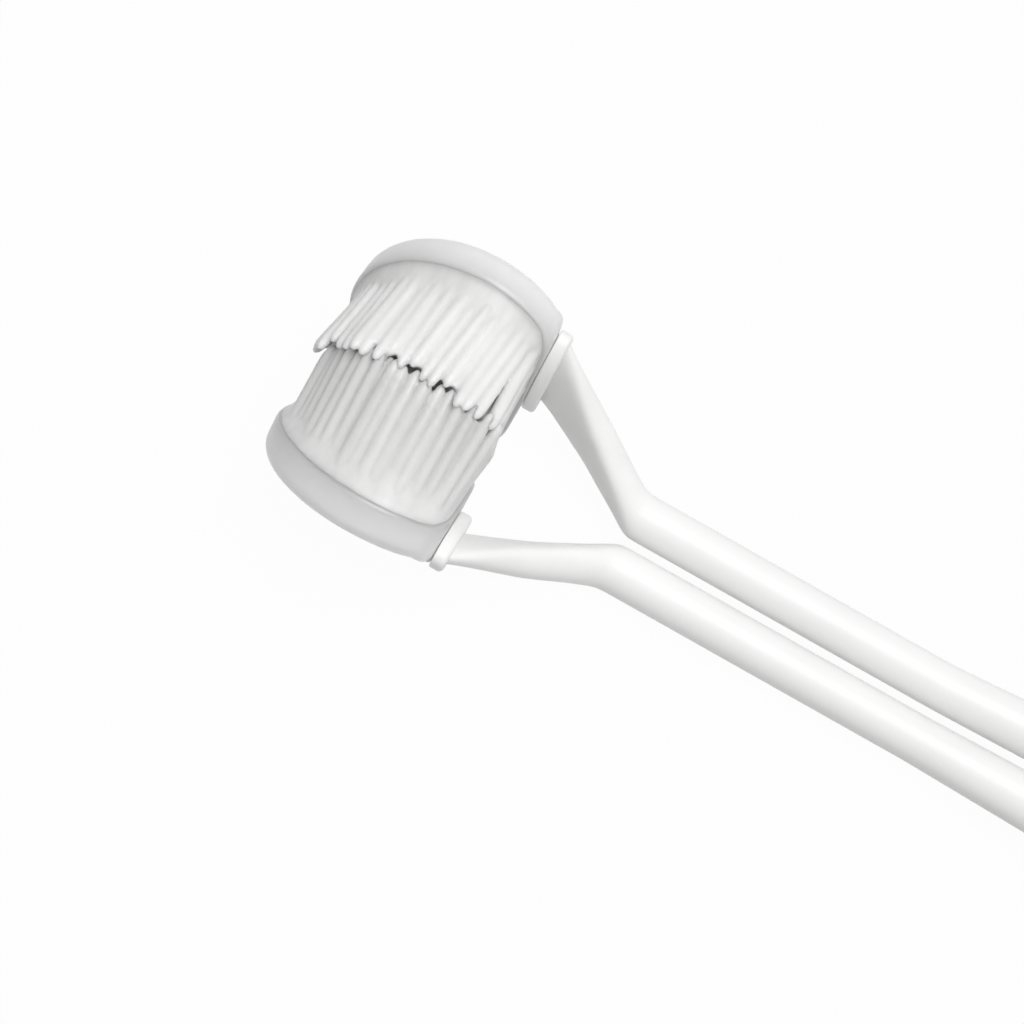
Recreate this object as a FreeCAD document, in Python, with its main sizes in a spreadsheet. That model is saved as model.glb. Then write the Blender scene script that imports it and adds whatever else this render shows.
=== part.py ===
"""Two-headed toothbrush: two round brush heads face each other on a pair of sprung arms.

Millimetres and degrees. +X runs from the heads to the tail of the grip, +Y is the user's right
when the heads point away, +Z is up. The brush lies on z = 0, with the origin under its middle.
"""
import FreeCAD, Part
import math
import os

Vector = FreeCAD.Vector
Rotation = FreeCAD.Rotation
Placement = FreeCAD.Placement

# Driving dimensions: alias, value, meaning
SIZES = (
    ("head_radius", 12.0, "round outline of a brush head"),
    ("head_thickness", 4.4, "head from bristle face to back"),
    ("head_tilt", 25.8, "lean of each bristle face from upright, in degrees"),
    ("head_face_offset", 6.07, "middle of a bristle face from the mid-plane"),
    ("head_corner", 4.0, "corner beside the flat neck end of a head"),
    ("back_round", 1.7, "rounding of the back edge"),
    ("face_round", 1.0, "rounding of the face edge"),
    ("rim_width", 1.1, "rim around the recess for the bristles"),
    ("neck_rim", 0.5, "rim beside the flat neck end"),
    ("recess_depth", 0.7, "recess that the bristle pad sits in"),
    ("neck_reach", 7.65, "head middle to its flat neck end"),
    ("neck_depth", 4.1, "neck axis behind the bristle face"),
    ("boss_half_across", 5.9, "neck boss, half its width across the head"),
    ("boss_half_depth", 2.3, "neck boss, half its thickness"),
    ("boss_length", 8.4, "neck boss along the head"),
    ("pad_gap", 0.05, "gap around the bristle pad in its recess"),
    ("bristle_radius", 0.5, "one moulded bristle"),
    ("bristle_pitch", 1.4, "spacing of bristles in a row"),
    ("bristle_margin", 0.62, "edge of the pad to the nearest bristle axis"),
    ("tip_gap", 0.3, "bristle tips of one head to those of the other"),
    ("core_radius", 1.8, "stiff sleeve inside the neck"),
    ("core_length", 7.6, "length of the sleeve"),
    ("peg_radius", 1.2, "peg of the arm"),
    ("peg_length", 6.4, "peg beyond the collar"),
    ("peg_clearance", 0.05, "running clearance around the peg"),
    ("peg_end_gap", 0.4, "free space past the end of the peg"),
    ("seat_gap", 0.1, "head to collar"),
    ("collar_half_across", 6.2, "collar, half its width across the head"),
    ("collar_half_depth", 2.5, "collar, half its thickness across the head face"),
    ("collar_thickness", 1.5, "collar along the arm"),
    ("collar_round", 0.5, "rounding of both collar edges"),
    ("throat_half_across", 4.9, "arm where it meets the collar, half its width"),
    ("throat_half_depth", 1.6, "arm where it meets the collar, half its thickness"),
    ("throat_setback", 0.6, "arm behind the middle of the collar where they meet"),
    ("throat_lift", 0.6, "arm above the middle of the collar where they meet"),
    ("waist_half_across", 4.4, "arm between elbow and collar, half its width"),
    ("waist_half_depth", 1.7, "arm between elbow and collar, half its thickness"),
    ("rod_radius", 2.6, "straight rod of an arm"),
    ("rod_offset", 3.08, "rod axis from the mid-plane"),
    ("rise_run", 16.35, "head end to elbow along the brush"),
    ("rod_length", 56.0, "elbow to the mouth of the grip"),
    ("flare_length", 19.0, "last stretch of the rod, where it widens"),
    ("root_radius", 3.0, "arm at the mouth of the grip"),
    ("root_offset", 3.5, "arm axis from the mid-plane at the mouth"),
    ("tang_width", 4.0, "flat tang inside the grip"),
    ("tang_embed", 2.0, "how far the tang reaches back into the rod"),
    ("pivot_inset", 10.0, "mouth of the grip to the pivot pins"),
    ("pivot_offset", 3.5, "pivot pin from the mid-plane"),
    ("eye_radius", 2.6, "eye of the arm around its pin"),
    ("eye_height", 3.8, "eye and tang, top to bottom"),
    ("pin_radius", 1.2, "pivot pin"),
    ("pin_bite", 1.8, "pin held in each half of the grip"),
    ("pin_clearance", 0.06, "running clearance of the eye on its pin"),
    ("pin_fit", 0.02, "clearance of the pin in the grip"),
    ("lever_length", 9.0, "lever behind the pivot that the spring presses"),
    ("lever_thickness", 1.8, "lever across the brush"),
    ("lever_height", 2.8, "lever, top to bottom"),
    ("spring_thickness", 0.5, "strip of the closing spring"),
    ("spring_height", 2.8, "width of the strip"),
    ("spring_gap", 0.1, "spring to its levers and its post"),
    ("spring_setback", 2.0, "end of the levers to the middle of the spring's bend"),
    ("spring_lead", 1.2, "pivot eye to the ends of the spring"),
    ("grip_length", 98.0, "mouth to tail"),
    ("grip_half_width", 10.0, "widest place of the grip, half"),
    ("grip_half_height", 5.6, "thickest place of the grip, half"),
    ("grip_axis_height", 5.0, "seam of the grip above the table"),
    ("grip_wall", 1.5, "wall of the grip"),
    ("mouth_round", 0.7, "rounding around the mouth of the grip"),
    ("tail_round", 1.2, "rounding around the end of the tail"),
    ("post_radius", 2.5, "posts that hold the pins"),
    ("post_gap", 0.25, "posts to the eye between them"),
    ("overrun", 1.0, "how far a cutting shape runs past what it cuts"),
)

# Grip sections from mouth to tail: place along the grip, width and height
GRIP_STATION_SHARES = (0.0, 0.1, 0.4, 0.72, 0.93, 1.0)
GRIP_WIDTH_SHARES = (0.97, 1.0, 0.86, 0.76, 0.6, 0.3)
GRIP_HEIGHT_SHARES = (0.95, 1.0, 0.97, 0.88, 0.68, 0.32)

# Neck boss sections from neck end inwards: place along the boss, width and thickness
BOSS_STATION_SHARES = (0.0, 0.75, 1.0)
BOSS_WIDTH_SHARES = (1.0, 0.8, 0.45)
BOSS_DEPTH_SHARES = (1.0, 0.9, 0.5)

# Arm between elbow and collar: place of the waist, and how deep throat and peg reach into the collar
WAIST_PLACE_SHARE = 0.5
THROAT_FOOT_SHARE = 0.5
PEG_FOOT_SHARE = 0.75

# Turns local x, y, z into y, z, x, so that a flat section stands across the brush
ACROSS = Rotation(Vector(1, 1, 1), 120)
ALONG = Rotation(Vector(0, 1, 0), 90)
TOLERANCE = Part.Precision.approximation()
NODES = {}

doc = FreeCAD.newDocument("TwoHeadedToothbrush")
sheet = doc.addObject("Spreadsheet::Sheet", "Sizes")
for row, (alias, value, meaning) in enumerate(SIZES, 1):
    sheet.set(f"A{row}", meaning)
    sheet.set(f"B{row}", str(value))
    sheet.setAlias(f"B{row}", alias)
doc.recompute()


def size(alias):
    return float(sheet.get(alias))


def make(kind, name, at=Vector(), turn=Rotation(), **formulas):
    """One Part object, its sizes bound to the sheet."""
    item = doc.addObject("Part::" + kind, name)
    for prop, formula in formulas.items():
        item.setExpression(prop, formula)
    item.Placement = Placement(at, turn)
    return item


def box(name, low, **formulas):
    return make("Box", name, low, **formulas)


def combine(kind, name, base, tool):
    item = doc.addObject("Part::" + kind, name)
    item.Base = base
    item.Tool = tool
    return item


def fuse(name, pieces):
    item = doc.addObject("Part::MultiFuse", name)
    item.Shapes = pieces
    return item


def loft(name, sections, ruled=False):
    item = doc.addObject("Part::Loft", name)
    item.Sections = sections
    item.Solid = True
    item.Ruled = ruled
    return item


def ellipse(name, at, turn, across, depth):
    return make("Ellipse", name, at, turn, MajorRadius=across, MinorRadius=depth)


def rounded(name, base, radius, chosen):
    """Rounds those edges of a base that the test picks out."""
    doc.recompute()
    item = doc.addObject("Part::Fillet", name)
    item.Base = base
    edges = base.Shape.Edges
    item.Edges = [(i, radius, radius) for i, edge in enumerate(edges, 1) if chosen(edge)]
    return item


def is_upright(edge):
    ends = [vertex.Point for vertex in edge.Vertexes]
    return len(ends) == 2 and math.hypot(ends[0].x - ends[1].x, ends[0].y - ends[1].y) < TOLERANCE


def at_level(level):
    def test(edge):
        return all(abs(v.Z - level) < TOLERANCE for v in edge.Vertexes)
    return test


def across_at(x):
    def test(edge):
        return all(abs(v.X - x) < TOLERANCE for v in edge.Vertexes)
    return test


def label(item, node, placement=None):
    item.Label = node
    if placement:
        item.Placement = placement
    NODES[node] = item


SIDES = (("right", 1), ("left", -1))

# Places along the brush
overall_length = sum(size(a) for a in ("head_radius", "neck_reach", "rise_run", "rod_length", "grip_length"))
head_x = size("head_radius") - overall_length / 2
neck_x = head_x + size("neck_reach")
elbow_x = neck_x + size("rise_run")
mouth_x = elbow_x + size("rod_length")
flare_x = mouth_x - size("flare_length")
pivot_x = mouth_x + size("pivot_inset")
lever_end_x = pivot_x + size("lever_length")
bend_x = lever_end_x + size("spring_setback")
axis_z = size("grip_axis_height")

# The lowest point of a head's rounded back edge lies on the table
tilt = math.radians(size("head_tilt"))
head_z = (
    (size("head_radius") - size("back_round")) * math.cos(tilt)
    + (size("head_thickness") - size("back_round")) * math.sin(tilt)
    + size("back_round")
)


def head_frame(sign):
    """Face middle, with local x along the brush, y across the head and z out of the bristle face."""
    turn = Rotation(Vector(1, 0, 0), sign * (90 - size("head_tilt")))
    return Placement(Vector(head_x, sign * size("head_face_offset"), head_z), turn)


def rounded_disc(name, insets, flat_insets, height, bottom):
    """Disc with one flat side towards the neck and rounded corners, inset from the head's outline."""
    inset = sum(size(alias) for alias in insets)
    reach = size("head_radius") - inset
    cut = "".join(f" - Sizes.{alias}" for alias in insets)
    flat_cut = "".join(f" - Sizes.{alias}" for alias in flat_insets)
    disc = make(
        "Cylinder", name + "Disc", Vector(0, 0, bottom),
        Radius="Sizes.head_radius" + cut, Height=height)
    block = box(
        name + "Block", Vector(-reach, -reach, bottom),
        Length="Sizes.head_radius + Sizes.neck_reach" + cut + flat_cut,
        Width=f"2 * (Sizes.head_radius{cut})",
        Height=height,
    )
    flat_sided = combine("Common", name + "FlatSided", disc, block)
    return rounded(name, flat_sided, size("head_corner") - inset, is_upright)


def head_shell(side, sign):
    thickness = size("head_thickness")
    name = side + "Head"
    puck = rounded_disc(name + "Puck", (), (), "Sizes.head_thickness", -thickness)
    back = rounded(name + "Back", puck, size("back_round"), at_level(-thickness))
    face = rounded(name + "Face", back, size("face_round"), at_level(0))
    sections = []
    boss_shares = zip(BOSS_STATION_SHARES, BOSS_WIDTH_SHARES, BOSS_DEPTH_SHARES)
    for place, width, depth in boss_shares:
        at = Vector(size("neck_reach") - place * size("boss_length"), 0, -size("neck_depth"))
        sections.append(ellipse(
            f"{name}Boss{len(sections)}", at, ACROSS,
            f"Sizes.boss_half_across * {width}", f"Sizes.boss_half_depth * {depth}",
        ))
    body = fuse(name + "Body", [face, loft(name + "Boss", sections)])
    recess = rounded_disc(
        name + "Recess", ("rim_width",), ("neck_rim",),
        "Sizes.recess_depth + Sizes.overrun", -size("recess_depth"))
    bore = make(
        "Cylinder", name + "Bore", Vector(size("neck_reach") - size("core_length"), 0, -size("neck_depth")),
        ALONG, Radius="Sizes.core_radius", Height="Sizes.core_length + Sizes.overrun",
    )
    open_face = combine("Cut", name + "OpenFace", body, recess)
    label(combine("Cut", name + "Shell", open_face, bore), f"{side}_head_shell", head_frame(sign))


def head_core(side, sign):
    """Stiff sleeve, closed at its inner end, that the arm's peg slides into."""
    name = side + "Core"
    sleeve = make(
        "Cylinder", name + "Sleeve", Vector(size("neck_reach") - size("core_length"), 0, -size("neck_depth")),
        ALONG, Radius="Sizes.core_radius", Height="Sizes.core_length",
    )
    depth = size("peg_length") + size("peg_end_gap")
    bore = make(
        "Cylinder", name + "Bore", Vector(size("neck_reach") - depth, 0, -size("neck_depth")), ALONG,
        Radius="Sizes.peg_radius + Sizes.peg_clearance",
        Height="Sizes.peg_length + Sizes.peg_end_gap + Sizes.overrun",
    )
    label(combine("Cut", name + "Socket", sleeve, bore), f"{side}_head_core", head_frame(sign))


def bristle_roots():
    """Staggered rows that fill the pad, as places on the bristle face."""
    pitch = size("bristle_pitch")
    row_step = pitch * math.sin(math.radians(60))
    margin = size("pad_gap") + size("bristle_margin")
    reach = size("head_radius") - size("rim_width") - margin
    flat = size("neck_reach") - size("neck_rim") - margin
    rows = math.ceil(reach / row_step)
    for row in range(-rows, rows + 1):
        shift = (row % 2) * pitch / 2
        for step in range(-rows, rows + 1):
            x = step * pitch + shift
            y = row * row_step
            if math.hypot(x, y) <= reach and x <= flat:
                yield x, y


def bristle(x, y, length):
    """Round finger with a domed tip, its foot inside the pad."""
    radius = size("bristle_radius")
    foot = -size("recess_depth") / 2
    dome = math.radians(45)
    middle = Vector(radius * math.cos(dome), 0, length + radius * math.sin(dome))
    outline = Part.Wire([
        Part.makeLine(Vector(0, 0, foot), Vector(radius, 0, foot)),
        Part.makeLine(Vector(radius, 0, foot), Vector(radius, 0, length)),
        Part.Arc(Vector(radius, 0, length), middle, Vector(0, 0, length + radius)).toShape(),
        Part.makeLine(Vector(0, 0, length + radius), Vector(0, 0, foot)),
    ])
    finger = Part.Face(outline).revolve(Vector(), Vector(0, 0, 1), 360)
    finger.translate(Vector(x, y, 0))
    return finger


def bristle_pad(side, sign):
    """Soft web with its bristles, each one ending just short of the mid-plane."""
    name = side + "Pad"
    frame = head_frame(sign)
    web = rounded_disc(
        name + "Web", ("rim_width", "pad_gap"), ("neck_rim", "pad_gap"),
        "Sizes.recess_depth", -size("recess_depth"))
    tip_height = size("tip_gap") / 2 + size("bristle_radius")
    fingers = []
    for x, y in bristle_roots():
        root = frame.multVec(Vector(x, y, 0))
        length = (abs(root.y) - tip_height) / math.cos(tilt)
        fingers.append(bristle(x, y, length))
    field = doc.addObject("Part::Feature", name + "Bristles")
    field.Shape = Part.makeCompound(fingers)
    label(fuse(name, [web, field]), f"{side}_bristle_pad", frame)


def arm(side, sign):
    name = side + "Arm"
    turn = head_frame(sign).Rotation.multiply(ACROSS)
    neck = head_frame(sign).multVec(Vector(size("neck_reach"), 0, -size("neck_depth")))
    elbow = Vector(elbow_x, sign * size("rod_offset"), size("rod_radius"))
    flare = Vector(flare_x, sign * size("rod_offset"), size("rod_radius"))
    mouth = Vector(mouth_x, sign * size("root_offset"), axis_z)
    pivot = Vector(pivot_x, sign * size("pivot_offset"), axis_z)
    collar_front = neck + Vector(size("seat_gap"), 0, 0)
    collar_back = collar_front + Vector(size("collar_thickness"), 0, 0)

    collar = loft(name + "CollarPlate", [
        ellipse(name + end, at, turn, "Sizes.collar_half_across", "Sizes.collar_half_depth")
        for end, at in (("CollarFront", collar_front), ("CollarBack", collar_back))
    ], ruled=True)
    rim_edges = size("collar_half_across") * math.pi
    collar = rounded(name + "Collar", collar, size("collar_round"), lambda edge: edge.Length > rim_edges)
    peg = make(
        "Cylinder", name + "Peg", collar_front - Vector(size("peg_length"), 0, 0), ALONG,
        Radius="Sizes.peg_radius", Height=f"Sizes.peg_length + Sizes.collar_thickness * {PEG_FOOT_SHARE}",
    )
    throat = collar_front + (collar_back - collar_front) * THROAT_FOOT_SHARE
    throat += head_frame(sign).Rotation.multVec(
        Vector(0, sign * size("throat_lift"), -size("throat_setback")))
    waist = elbow + (throat - elbow) * WAIST_PLACE_SHARE
    limb = loft(name + "Limb", [
        ellipse(name + "Throat", throat, turn, "Sizes.throat_half_across", "Sizes.throat_half_depth"),
        ellipse(name + "Waist", waist, turn, "Sizes.waist_half_across", "Sizes.waist_half_depth"),
        make("Circle", name + "Elbow", elbow, turn, Radius="Sizes.rod_radius"),
        make("Circle", name + "Flare", flare, turn, Radius="Sizes.rod_radius"),
        make("Circle", name + "Root", mouth, turn, Radius="Sizes.root_radius"),
    ], ruled=True)
    tang_low = Vector(
        mouth_x - size("tang_embed"), pivot.y - size("tang_width") / 2, axis_z - size("eye_height") / 2)
    tang = box(
        name + "Tang", tang_low,
        Length="Sizes.pivot_inset + Sizes.tang_embed", Width="Sizes.tang_width", Height="Sizes.eye_height")
    eye = make(
        "Cylinder", name + "Eye", pivot - Vector(0, 0, size("eye_height") / 2),
        Radius="Sizes.eye_radius", Height="Sizes.eye_height")
    lever_low = pivot - Vector(0, size("lever_thickness") / 2, size("lever_height") / 2)
    lever = box(
        name + "Lever", lever_low,
        Length="Sizes.lever_length", Width="Sizes.lever_thickness", Height="Sizes.lever_height")
    bore = make(
        "Cylinder", name + "PinBore", pivot - Vector(0, 0, size("eye_height") / 2 + size("overrun")),
        Radius="Sizes.pin_radius + Sizes.pin_clearance", Height="Sizes.eye_height + 2 * Sizes.overrun")
    whole = fuse(name + "Body", [collar, peg, limb, tang, eye, lever])
    label(combine("Cut", name, whole, bore), f"{side}_arm")


def pin_cylinder(name, sign, extra=""):
    half = size("eye_height") / 2 + size("post_gap") + size("pin_bite")
    low = Vector(pivot_x, sign * size("pivot_offset"), axis_z - half)
    return make(
        "Cylinder", name, low, Radius="Sizes.pin_radius" + extra,
        Height="Sizes.eye_height + 2 * (Sizes.post_gap + Sizes.pin_bite)")


def grip_loft(name, inset, first_extra, last_share):
    """Skin of the grip, or its hollow when it is inset by the wall."""
    sections = []
    cut = f" - Sizes.{inset}" if inset else ""
    stations = zip(GRIP_STATION_SHARES, GRIP_WIDTH_SHARES, GRIP_HEIGHT_SHARES)
    for place, width, height in stations:
        if place > last_share:
            break
        x = mouth_x + place * size("grip_length") - (first_extra if place == 0 else 0)
        sections.append(ellipse(
            f"{name}Section{len(sections)}", Vector(x, 0, axis_z), ACROSS,
            f"Sizes.grip_half_width * {width}{cut}", f"Sizes.grip_half_height * {height}{cut}",
        ))
    return loft(name, sections)


def grip_half(name, shell, skin, low_z, height, posts):
    """Half of the hollow grip on one side of the seam, with its posts and pin holes."""
    reach = size("grip_half_width") + size("overrun")
    slab = box(
        name + "Slab", Vector(mouth_x - size("overrun"), -reach, low_z),
        Length="Sizes.grip_length + 2 * Sizes.overrun",
        Width="2 * (Sizes.grip_half_width + Sizes.overrun)",
        Height=height,
    )
    half = combine("Common", name + "Half", shell, slab)
    inside = combine("Common", name + "Inside", fuse(name + "PostSet", posts), skin)
    trimmed = combine("Common", name + "Posts", inside, slab)
    holes = fuse(name + "Holes", [
        pin_cylinder(f"{name}Hole{side}", sign, " + Sizes.pin_fit") for side, sign in SIDES])
    return combine("Cut", name, fuse(name + "Whole", [half, trimmed]), holes)


def grip():
    blank = grip_loft("GripBlank", None, 0, 1)
    nosed = rounded("GripNosed", blank, size("mouth_round"), across_at(mouth_x))
    skin = rounded("GripSkin", nosed, size("tail_round"), across_at(mouth_x + size("grip_length")))
    hollow = grip_loft("GripHollow", "grip_wall", size("overrun"), GRIP_STATION_SHARES[-2])
    shell = combine("Cut", "GripShell", skin, hollow)
    eye_high = axis_z + size("eye_height") / 2
    low_posts = []
    high_posts = []
    for side, sign in SIDES:
        at = Vector(pivot_x, sign * size("pivot_offset"), 0)
        low_posts.append(make(
            "Cylinder", f"LowPost{side}", at, Radius="Sizes.post_radius",
            Height="Sizes.grip_axis_height - Sizes.eye_height / 2 - Sizes.post_gap"))
        high_posts.append(make(
            "Cylinder", f"HighPost{side}", at + Vector(0, 0, eye_high + size("post_gap")),
            Radius="Sizes.post_radius", Height="Sizes.grip_half_height"))
    bend_radius = "(Sizes.pivot_offset - Sizes.lever_thickness / 2 - Sizes.spring_gap)"
    low_posts.append(make(
        "Cylinder", "SpringSeat", Vector(bend_x, 0, 0), Radius=bend_radius,
        Height="Sizes.grip_axis_height - Sizes.spring_height / 2"))
    low_posts.append(make(
        "Cylinder", "SpringPost", Vector(bend_x, 0, 0),
        Radius=bend_radius + " - Sizes.spring_thickness - Sizes.spring_gap", Height="Sizes.grip_axis_height"))
    bottom = grip_half("GripBottom", shell, skin, 0, "Sizes.grip_axis_height", low_posts)
    top = grip_half("GripTop", shell, skin, axis_z, "Sizes.grip_half_height + Sizes.overrun", high_posts)
    label(bottom, "grip_bottom_shell")
    label(top, "grip_top_shell")


def closing_spring():
    """Strip bent into a U, with its legs against the inner sides of the two levers."""
    radius = size("pivot_offset") - size("lever_thickness") / 2 - size("spring_gap")
    inner = radius - size("spring_thickness")
    low_z = axis_z - size("spring_height") / 2
    leg_x = pivot_x + size("eye_radius") + size("spring_lead")
    outer_radius = "(Sizes.pivot_offset - Sizes.lever_thickness / 2 - Sizes.spring_gap)"
    inner_radius = f"({outer_radius} - Sizes.spring_thickness)"
    reach = "Sizes.lever_length + Sizes.spring_setback - Sizes.eye_radius - Sizes.spring_lead"
    outside = fuse("SpringOutside", [
        box("SpringOuterLegs", Vector(leg_x, -radius, low_z),
            Length=reach, Width="2 * " + outer_radius, Height="Sizes.spring_height"),
        make("Cylinder", "SpringOuterBend", Vector(bend_x, 0, low_z),
             Radius=outer_radius, Height="Sizes.spring_height"),
    ])
    inside = fuse("SpringInside", [
        box("SpringInnerLegs", Vector(leg_x - size("overrun"), -inner, low_z),
            Length=reach + " + Sizes.overrun", Width="2 * " + inner_radius, Height="Sizes.spring_height"),
        make("Cylinder", "SpringInnerBend", Vector(bend_x, 0, low_z),
             Radius=inner_radius, Height="Sizes.spring_height"),
    ])
    label(combine("Cut", "Spring", outside, inside), "closing_spring")


for side_name, side_sign in SIDES:
    head_shell(side_name, side_sign)
    head_core(side_name, side_sign)
    bristle_pad(side_name, side_sign)
    arm(side_name, side_sign)
    label(pin_cylinder(side_name + "Pin", side_sign), f"{side_name}_pivot_pin")
grip()
closing_spring()
doc.recompute()

for item in doc.Objects:
    faults = {"Invalid", "Error"} & set(item.State)
    if faults:
        raise RuntimeError(f"{item.Name} did not build: {item.State}")
for node, item in NODES.items():
    shape = item.Shape
    if shape.isNull() or not shape.isValid() or len(shape.Solids) != 1:
        raise RuntimeError(f"{node} is not one valid solid")

os.makedirs("parts", exist_ok=True)
for node, item in NODES.items():
    item.Shape.exportStep(f"parts/{node}.step")
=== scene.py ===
"""Looks of the two-headed toothbrush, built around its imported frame.

The scene is in metres, in the frame of the CAD: +X from the heads to the tail, +Y to the right, +Z up.
Shapes are worked out in millimetres and turned into metres when a mesh is filled.
"""

import math

import bmesh
import bpy
import numpy as np
from mathutils import Matrix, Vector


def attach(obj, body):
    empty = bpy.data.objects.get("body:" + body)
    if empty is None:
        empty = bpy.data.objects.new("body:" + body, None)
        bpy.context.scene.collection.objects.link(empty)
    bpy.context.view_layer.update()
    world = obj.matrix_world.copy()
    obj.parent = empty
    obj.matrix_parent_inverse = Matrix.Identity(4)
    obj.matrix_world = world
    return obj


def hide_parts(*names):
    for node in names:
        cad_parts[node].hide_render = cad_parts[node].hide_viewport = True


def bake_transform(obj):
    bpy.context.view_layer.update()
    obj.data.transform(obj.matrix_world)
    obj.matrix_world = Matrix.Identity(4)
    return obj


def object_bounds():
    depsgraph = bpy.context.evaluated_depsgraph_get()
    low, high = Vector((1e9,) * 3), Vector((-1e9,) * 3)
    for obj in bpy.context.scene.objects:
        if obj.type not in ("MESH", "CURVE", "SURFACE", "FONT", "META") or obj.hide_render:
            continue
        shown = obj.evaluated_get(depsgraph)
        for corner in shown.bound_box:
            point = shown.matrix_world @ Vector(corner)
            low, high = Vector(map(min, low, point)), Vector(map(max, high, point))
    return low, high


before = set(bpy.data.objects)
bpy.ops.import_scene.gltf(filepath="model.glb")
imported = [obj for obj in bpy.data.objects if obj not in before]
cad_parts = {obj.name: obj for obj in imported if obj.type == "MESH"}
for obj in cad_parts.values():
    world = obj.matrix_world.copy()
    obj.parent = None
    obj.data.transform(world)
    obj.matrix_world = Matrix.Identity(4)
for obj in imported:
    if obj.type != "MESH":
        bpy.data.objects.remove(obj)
cad_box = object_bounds()

MM = 0.001
FULL_TURN = 2.0 * math.pi
SHARP_ANGLE = math.radians(50.0)
MERGE_DISTANCE = 1e-6
WINDOW_STEPS = 25
WINDOW_FLOOR = 0.02
SEED = 7
SIDES = (("right", 1), ("left", -1))
EVEN = (1.0, 1.0, 1.0)
WHITE = (1.0, 1.0, 1.0, 1.0)
WARMTH = 0.994
random = np.random.default_rng(SEED)

# Head sizes in millimetres, as in the CAD but for a longer neck with squarer edges
HEAD_X = -83.0
HEAD_RADIUS = 12.0
HEAD_THICKNESS = 4.4
HEAD_TILT = math.radians(25.8)
FACE_OFFSET = 6.07
FACE_HEIGHT = 12.147
FACE_ROUND = 1.0
BACK_ROUND = 1.7
RIM_WIDTH = 1.1
NECK_RIM = 0.5
RECESS_DEPTH = 0.7
NECK_REACH = 8.02
NECK_DEPTH = 4.1
NECK_EDGE_CUT = 0.75
NECK_EDGE_START = 1.2
NECK_EDGE_RAMP = 1.0
EDGE_SHARPNESS = 13.0
CORE_RADIUS = 1.8
DRILL_OVERRUN = 2.0
DRILL_COLUMNS = 48
HEAD_COLUMNS = 160

# Boss under the neck: half sizes at the neck end, its ramp, and its share of each size where that starts
BOSS_ACROSS = 5.9
BOSS_DEPTH = 2.3
BOSS_START = -3.6
BOSS_RAMP = 4.6
BOSS_START_ACROSS = 0.45
BOSS_START_DEPTH = 0.1
BOSS_SOFTNESS = 0.22
BOSS_SIDE_START = 1.0
BOSS_SIDE_RAMP = HEAD_THICKNESS / 2.0

# Web that carries the bristles: its play in the recess, the round of its edge and the height of its crown
WEB_PLAY = 0.04
WEB_SHOULDER = 0.12
WEB_CROWN = 0.05
WEB_COLUMNS = 128

# Bristles: an outer row just inside the rim, and staggered rows behind it
BRISTLE_RADIUS = 0.62
BRISTLE_PITCH = 1.25
ROOT_INSET = 1.52
ROOT_NECK_INSET = 1.10
ROOT_START = 0.15
ROOT_LINES = 12
INNER_ROW_GAP = 0.75 * BRISTLE_PITCH
ROW_STAGGER = 0.5
ROW_RISE = BRISTLE_PITCH * math.sqrt(0.75)
FINGER_ROWS = (0.0, 0.15, 0.35, 0.60, 0.80, 0.90, 0.955, 0.99, 1.0)
FINGER_WIDTHS = (1.25, 1.12, 1.04, 1.0, 0.96, 0.88, 0.72, 0.38, 0.0)
FINGER_COLUMNS = 10

# How single bristles differ in the place of their root, their lean, shortness and thickness
EDGE_ROOT_SPREAD = 0.14
EDGE_INWARD_SPREAD = 0.016
INNER_ROOT_SPREAD = 0.06
LEAN_SPREAD = 0.13
SHORTNESS_SHAPE = 1.5
SHORTNESS_SCALE = 0.12
THINNEST = 0.84
THICKEST = 1.14

# Tips: upper layers that pass the middle or make room there, short ones, leaning ones and strays
UPPER_START = 3.0
UPPER_RAMP = 4.0
LAYER_DEPTH = 1.5
TOP_LAYER_END = 1.0
NEXT_LAYER_END = 2.2
LAYER_ROOM = 0.8
OVERLAP = 0.85
UNDERLAP = 0.95
TIP_GAP = 0.10
SHORT_TIPS = (-3.4, -1.0, 2.3)
SHORT_BY = 1.1
LEAST_LENGTH = 0.8
NECK_LEAN = 0.9
NECK_LEAN_START = 5.0
NECK_LEAN_RAMP = 1.5
RIGHT_LEAN = -0.07
STRAY_START = -9.4
STRAY_LEAN = -1.0
STRAY_EXTRA = 1.4

# Sag of the tips, under the full height of the brush and of left tips under right ones
LEFT_SAG = 0.75
LEFT_SAG_START = 2.0
LEFT_SAG_RAMP = 4.0
CEILING_SAG = 1.15
CEILING_GAP = 0.10
SAG_LIMIT = 1.2

# Fill where bristles touch, row by row out over the rim and up: heights, limits, insets, play at the front
FILL_SHARES = {1: 0.90, -1: 0.95}
FILL_HEIGHTS = (-0.20, 0.02, -0.78, -0.44, -0.21, -0.05, 0.34, 0.95, 1.70, 3.00)
FILL_LIMITS = (0.10, 0.10, 0.10, 0.10, 0.10, 0.14, 0.30, 0.48, 0.65, 0.80)
FILL_INSETS = (1.30, 1.15, 0.10, 0.22, 0.36, 0.50, 0.68, 0.86, 1.06, 1.30)
FILL_NECK_INSETS = (0.90, 0.70, 0.10, 0.14, 0.20, 0.28, 0.45, 0.70, 1.10, 1.60)
FILL_LOOSENESS = (0.0, 0.0, 0.0, 0.0, 0.0, 0.0, 0.05, 0.18, 0.40, 0.70)
FILL_LOOSE_START = 0.6
FILL_LOOSE_RAMP = 0.35

# Skin that grows over web, fill and fingers, and the marks on it
FUSE_GRAIN = 0.149
SHORTEST_WAY = 0.5
ROOT_MARK_APART = 30.0

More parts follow.
